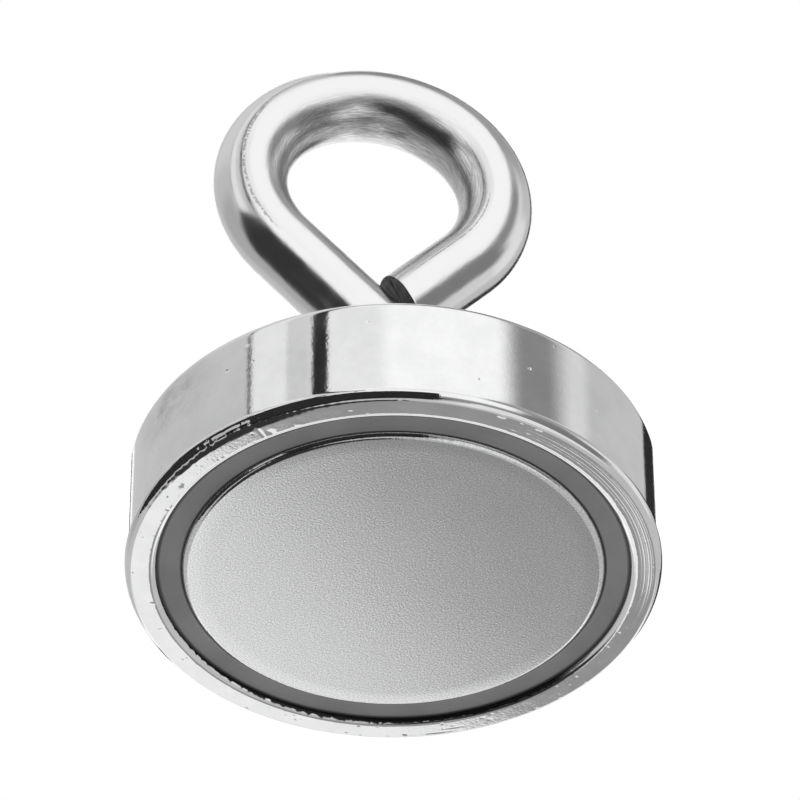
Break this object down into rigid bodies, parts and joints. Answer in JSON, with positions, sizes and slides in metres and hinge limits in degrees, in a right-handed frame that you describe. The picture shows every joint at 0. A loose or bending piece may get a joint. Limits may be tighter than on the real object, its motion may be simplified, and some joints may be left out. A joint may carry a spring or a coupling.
{
  "type": "magnet fishing magnet",
  "caption": "Round steel pot magnet with a disc flush in its face and an open bent-rod eye bolt screwed into its back, thrown on a rope to lift iron from water.",
  "frame": {"origin": "centre of the pulling face, the flat face with the magnet in it", "axes": "+Z from the pulling face along the shank to the eye; the hole of the eye runs along Y; +X is the side of the eye that ends in the cropped tip"},
  "size_m": [0.048, 0.048, 0.0621],
  "materials": {
    "polished_nickel": "turned steel, bright nickel plated",
    "satin_nickel": "fine sand-like satin nickel plating",
    "potting_resin": "smooth semi-matt grey epoxy",
    "adhesive": "cured glue",
    "fastener_zinc": "bright zinc plated",
    "plated_rod": "polished and plated round bar"
  },
  "bodies": {
    "magnet_body": {"steel_cup": "polished_nickel", "magnet_disc": "satin_nickel", "resin_ring": "potting_resin", "adhesive_film": "adhesive"},
    "flat_washer": {"flat_washer": "fastener_zinc"},
    "eye_bolt": {"eye_bolt": "plated_rod"},
    "spring_washer": {"spring_washer": "fastener_zinc"},
    "lock_nut": {"lock_nut": "fastener_zinc"}
  },
  "joints": [
    {"name": "flat_washer_rise", "type": "slide", "parent": "magnet_body", "child": "flat_washer", "axis": [0, 0, 1], "range_m": [0, 0.00487]},
    {"name": "eye_bolt_turn", "type": "hinge", "parent": "flat_washer", "child": "eye_bolt", "pos_m": [0, 0, 0.0115], "axis": [0, 0, 1], "range_deg": [0, 1405]},
    {"name": "spring_washer_rise", "type": "slide", "parent": "eye_bolt", "child": "spring_washer", "axis": [0, 0, 1], "range_m": [0, 0.00125]},
    {"name": "lock_nut_turn", "type": "hinge", "parent": "spring_washer", "child": "lock_nut", "pos_m": [0, 0, 0.0151], "axis": [0, 0, 1], "range_deg": [0, 361]}
  ],
  "couplings": [
    {"joint": "eye_bolt_turn", "follows": "flat_washer_rise", "rad_per_m": 5026.5},
    {"joint": "lock_nut_turn", "follows": "spring_washer_rise", "rad_per_m": 5026.5}
  ]
}
